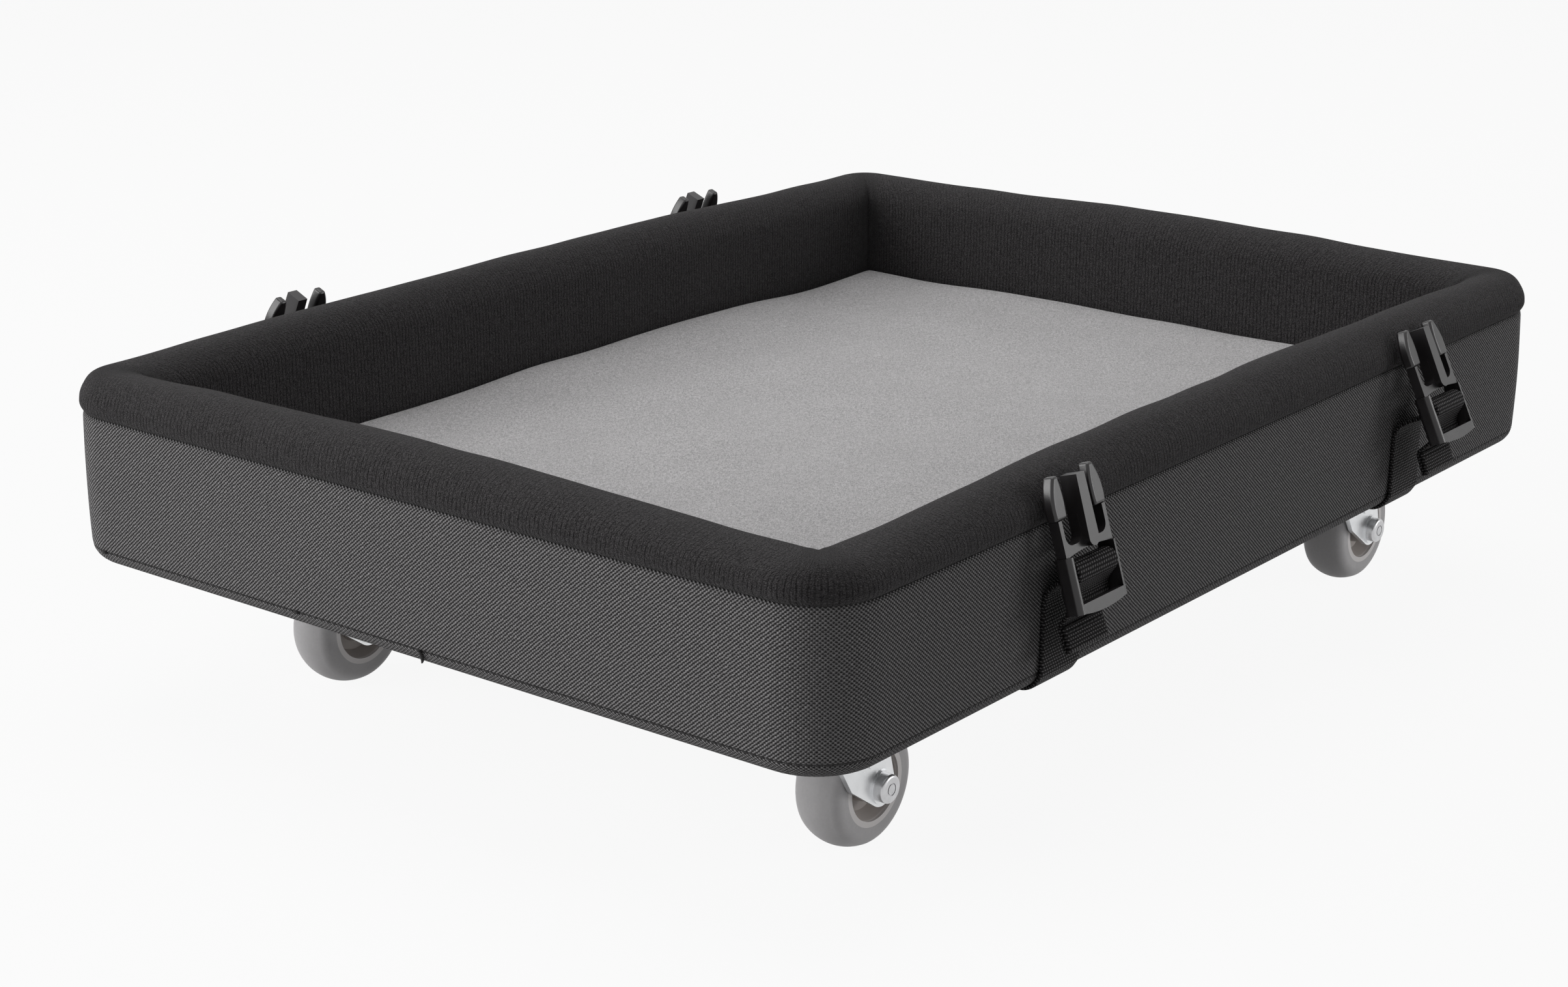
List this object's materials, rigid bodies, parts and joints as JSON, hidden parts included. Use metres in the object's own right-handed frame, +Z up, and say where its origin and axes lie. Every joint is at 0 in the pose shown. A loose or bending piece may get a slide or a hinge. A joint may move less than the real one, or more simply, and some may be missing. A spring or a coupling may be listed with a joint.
{
  "type": "caster board",
  "caption": "Low padded tray with fabric-cased foam walls, a felt floor and buckle straps, rolling on swivel casters, for carrying a case or loudspeaker.",
  "frame": {"origin": "on the floor under the middle of the tray, at the wheels' contact height", "axes": "+X along the tray's long side, +Y across it towards the back, +Z up"},
  "size_m": [0.5344, 0.4394, 0.1507],
  "materials": {
    "plywood": "bare birch plywood",
    "casing_weave": "coarse charcoal polyester weave",
    "loop_knit": "black brushed ribbed knit",
    "foam": "closed-cell foam",
    "felt": "grey needled felt",
    "webbing": "black ribbed webbing",
    "zinc": "bright zinc plate",
    "steel": "ground steel",
    "hub_plastic": "grey moulded plastic with a pale ring",
    "tyre_rubber": "grey soft rubber",
    "buckle_plastic": "black moulded acetal"
  },
  "bodies": {
    "tray": {"base_board": "plywood", "bottom_cover": "casing_weave", "casing": "casing_weave", "lining": "loop_knit", "floor_foam": "foam", "felt_mat": "felt", "caster_bolts": "zinc", "tee_nuts": "zinc", "strap_anchors": "webbing", "wall_foam_front": "foam", "wall_foam_back": "foam", "wall_foam_left": "foam", "wall_foam_right": "foam", "caster_plate_front_left": "zinc", "kingpin_front_left": "zinc", "swivel_balls_front_left": "steel", "caster_plate_front_right": "zinc", "kingpin_front_right": "zinc", "swivel_balls_front_right": "steel", "caster_plate_back_left": "zinc", "kingpin_back_left": "zinc", "swivel_balls_back_left": "steel", "caster_plate_back_right": "zinc", "kingpin_back_right": "zinc", "swivel_balls_back_right": "steel"},
    "swivel_front_left": {"fork_front_left": "zinc", "axle_bolt_front_left": "zinc", "axle_nut_front_left": "zinc", "axle_bush_front_left": "steel"},
    "wheel_front_left": {"hub_front_left": "hub_plastic", "tyre_front_left": "tyre_rubber"},
    "swivel_front_right": {"fork_front_right": "zinc", "axle_bolt_front_right": "zinc", "axle_nut_front_right": "zinc", "axle_bush_front_right": "steel"},
    "wheel_front_right": {"hub_front_right": "hub_plastic", "tyre_front_right": "tyre_rubber"},
    "swivel_back_left": {"fork_back_left": "zinc", "axle_bolt_back_left": "zinc", "axle_nut_back_left": "zinc", "axle_bush_back_left": "steel"},
    "wheel_back_left": {"hub_back_left": "hub_plastic", "tyre_back_left": "tyre_rubber"},
    "swivel_back_right": {"fork_back_right": "zinc", "axle_bolt_back_right": "zinc", "axle_nut_back_right": "zinc", "axle_bush_back_right": "steel"},
    "wheel_back_right": {"hub_back_right": "hub_plastic", "tyre_back_right": "tyre_rubber"},
    "strap_front_left": {"webbing_front_left": "webbing"},
    "buckle_front_left": {"buckle_front_left": "buckle_plastic"},
    "strap_front_right": {"webbing_front_right": "webbing"},
    "buckle_front_right": {"buckle_front_right": "buckle_plastic"},
    "strap_back_left": {"webbing_back_left": "webbing"},
    "buckle_back_left": {"buckle_back_left": "buckle_plastic"},
    "strap_back_right": {"webbing_back_right": "webbing"},
    "buckle_back_right": {"buckle_back_right": "buckle_plastic"}
  },
  "joints": [
    {"name": "caster_swivel_front_left", "type": "hinge", "parent": "tray", "child": "swivel_front_left", "pos_m": [-0.189, -0.133, 0.0598], "axis": [0, 0, 1], "continuous": true},
    {"name": "wheel_spin_front_left", "type": "hinge", "parent": "swivel_front_left", "child": "wheel_front_left", "pos_m": [-0.171, -0.133, 0.0254], "axis": [0, 1, 0], "continuous": true},
    {"name": "caster_swivel_front_right", "type": "hinge", "parent": "tray", "child": "swivel_front_right", "pos_m": [0.189, -0.133, 0.0598], "axis": [0, 0, 1], "continuous": true},
    {"name": "wheel_spin_front_right", "type": "hinge", "parent": "swivel_front_right", "child": "wheel_front_right", "pos_m": [0.207, -0.133, 0.0254], "axis": [0, 1, 0], "continuous": true},
    {"name": "caster_swivel_back_left", "type": "hinge", "parent": "tray", "child": "swivel_back_left", "pos_m": [-0.189, 0.133, 0.0598], "axis": [0, 0, 1], "continuous": true},
    {"name": "wheel_spin_back_left", "type": "hinge", "parent": "swivel_back_left", "child": "wheel_back_left", "pos_m": [-0.171, 0.133, 0.0254], "axis": [0, 1, 0], "continuous": true},
    {"name": "caster_swivel_back_right", "type": "hinge", "parent": "tray", "child": "swivel_back_right", "pos_m": [0.189, 0.133, 0.0598], "axis": [0, 0, 1], "continuous": true},
    {"name": "wheel_spin_back_right", "type": "hinge", "parent": "swivel_back_right", "child": "wheel_back_right", "pos_m": [0.207, 0.133, 0.0254], "axis": [0, 1, 0], "continuous": true},
    {"name": "strap_flap_front_left", "type": "hinge", "parent": "tray", "child": "strap_front_left", "pos_m": [-0.133, -0.1963, 0.0726], "axis": [1, 0, 0], "range_deg": [0, 130]},
    {"name": "buckle_tilt_front_left", "type": "hinge", "parent": "strap_front_left", "child": "buckle_front_left", "pos_m": [-0.133, -0.20723, 0.1126], "axis": [1, 0, 0], "range_deg": [0, 10]},
    {"name": "strap_flap_front_right", "type": "hinge", "parent": "tray", "child": "strap_front_right", "pos_m": [0.133, -0.1963, 0.0726], "axis": [1, 0, 0], "range_deg": [0, 130]},
    {"name": "buckle_tilt_front_right", "type": "hinge", "parent": "strap_front_right", "child": "buckle_front_right", "pos_m": [0.133, -0.21155, 0.1126], "axis": [1, 0, 0], "range_deg": [0, 10]},
    {"name": "strap_flap_back_left", "type": "hinge", "parent": "tray", "child": "strap_back_left", "pos_m": [-0.133, 0.1963, 0.0726], "axis": [-1, 0, 0], "range_deg": [0, 130]},
    {"name": "buckle_tilt_back_left", "type": "hinge", "parent": "strap_back_left", "child": "buckle_back_left", "pos_m": [-0.133, 0.20873, 0.1176], "axis": [-1, 0, 0], "range_deg": [0, 10]},
    {"name": "strap_flap_back_right", "type": "hinge", "parent": "tray", "child": "strap_back_right", "pos_m": [0.133, 0.1963, 0.0726], "axis": [-1, 0, 0], "range_deg": [0, 130]},
    {"name": "buckle_tilt_back_right", "type": "hinge", "parent": "strap_back_right", "child": "buckle_back_right", "pos_m": [0.133, 0.20781, 0.1176], "axis": [-1, 0, 0], "range_deg": [0, 10]}
  ]
}
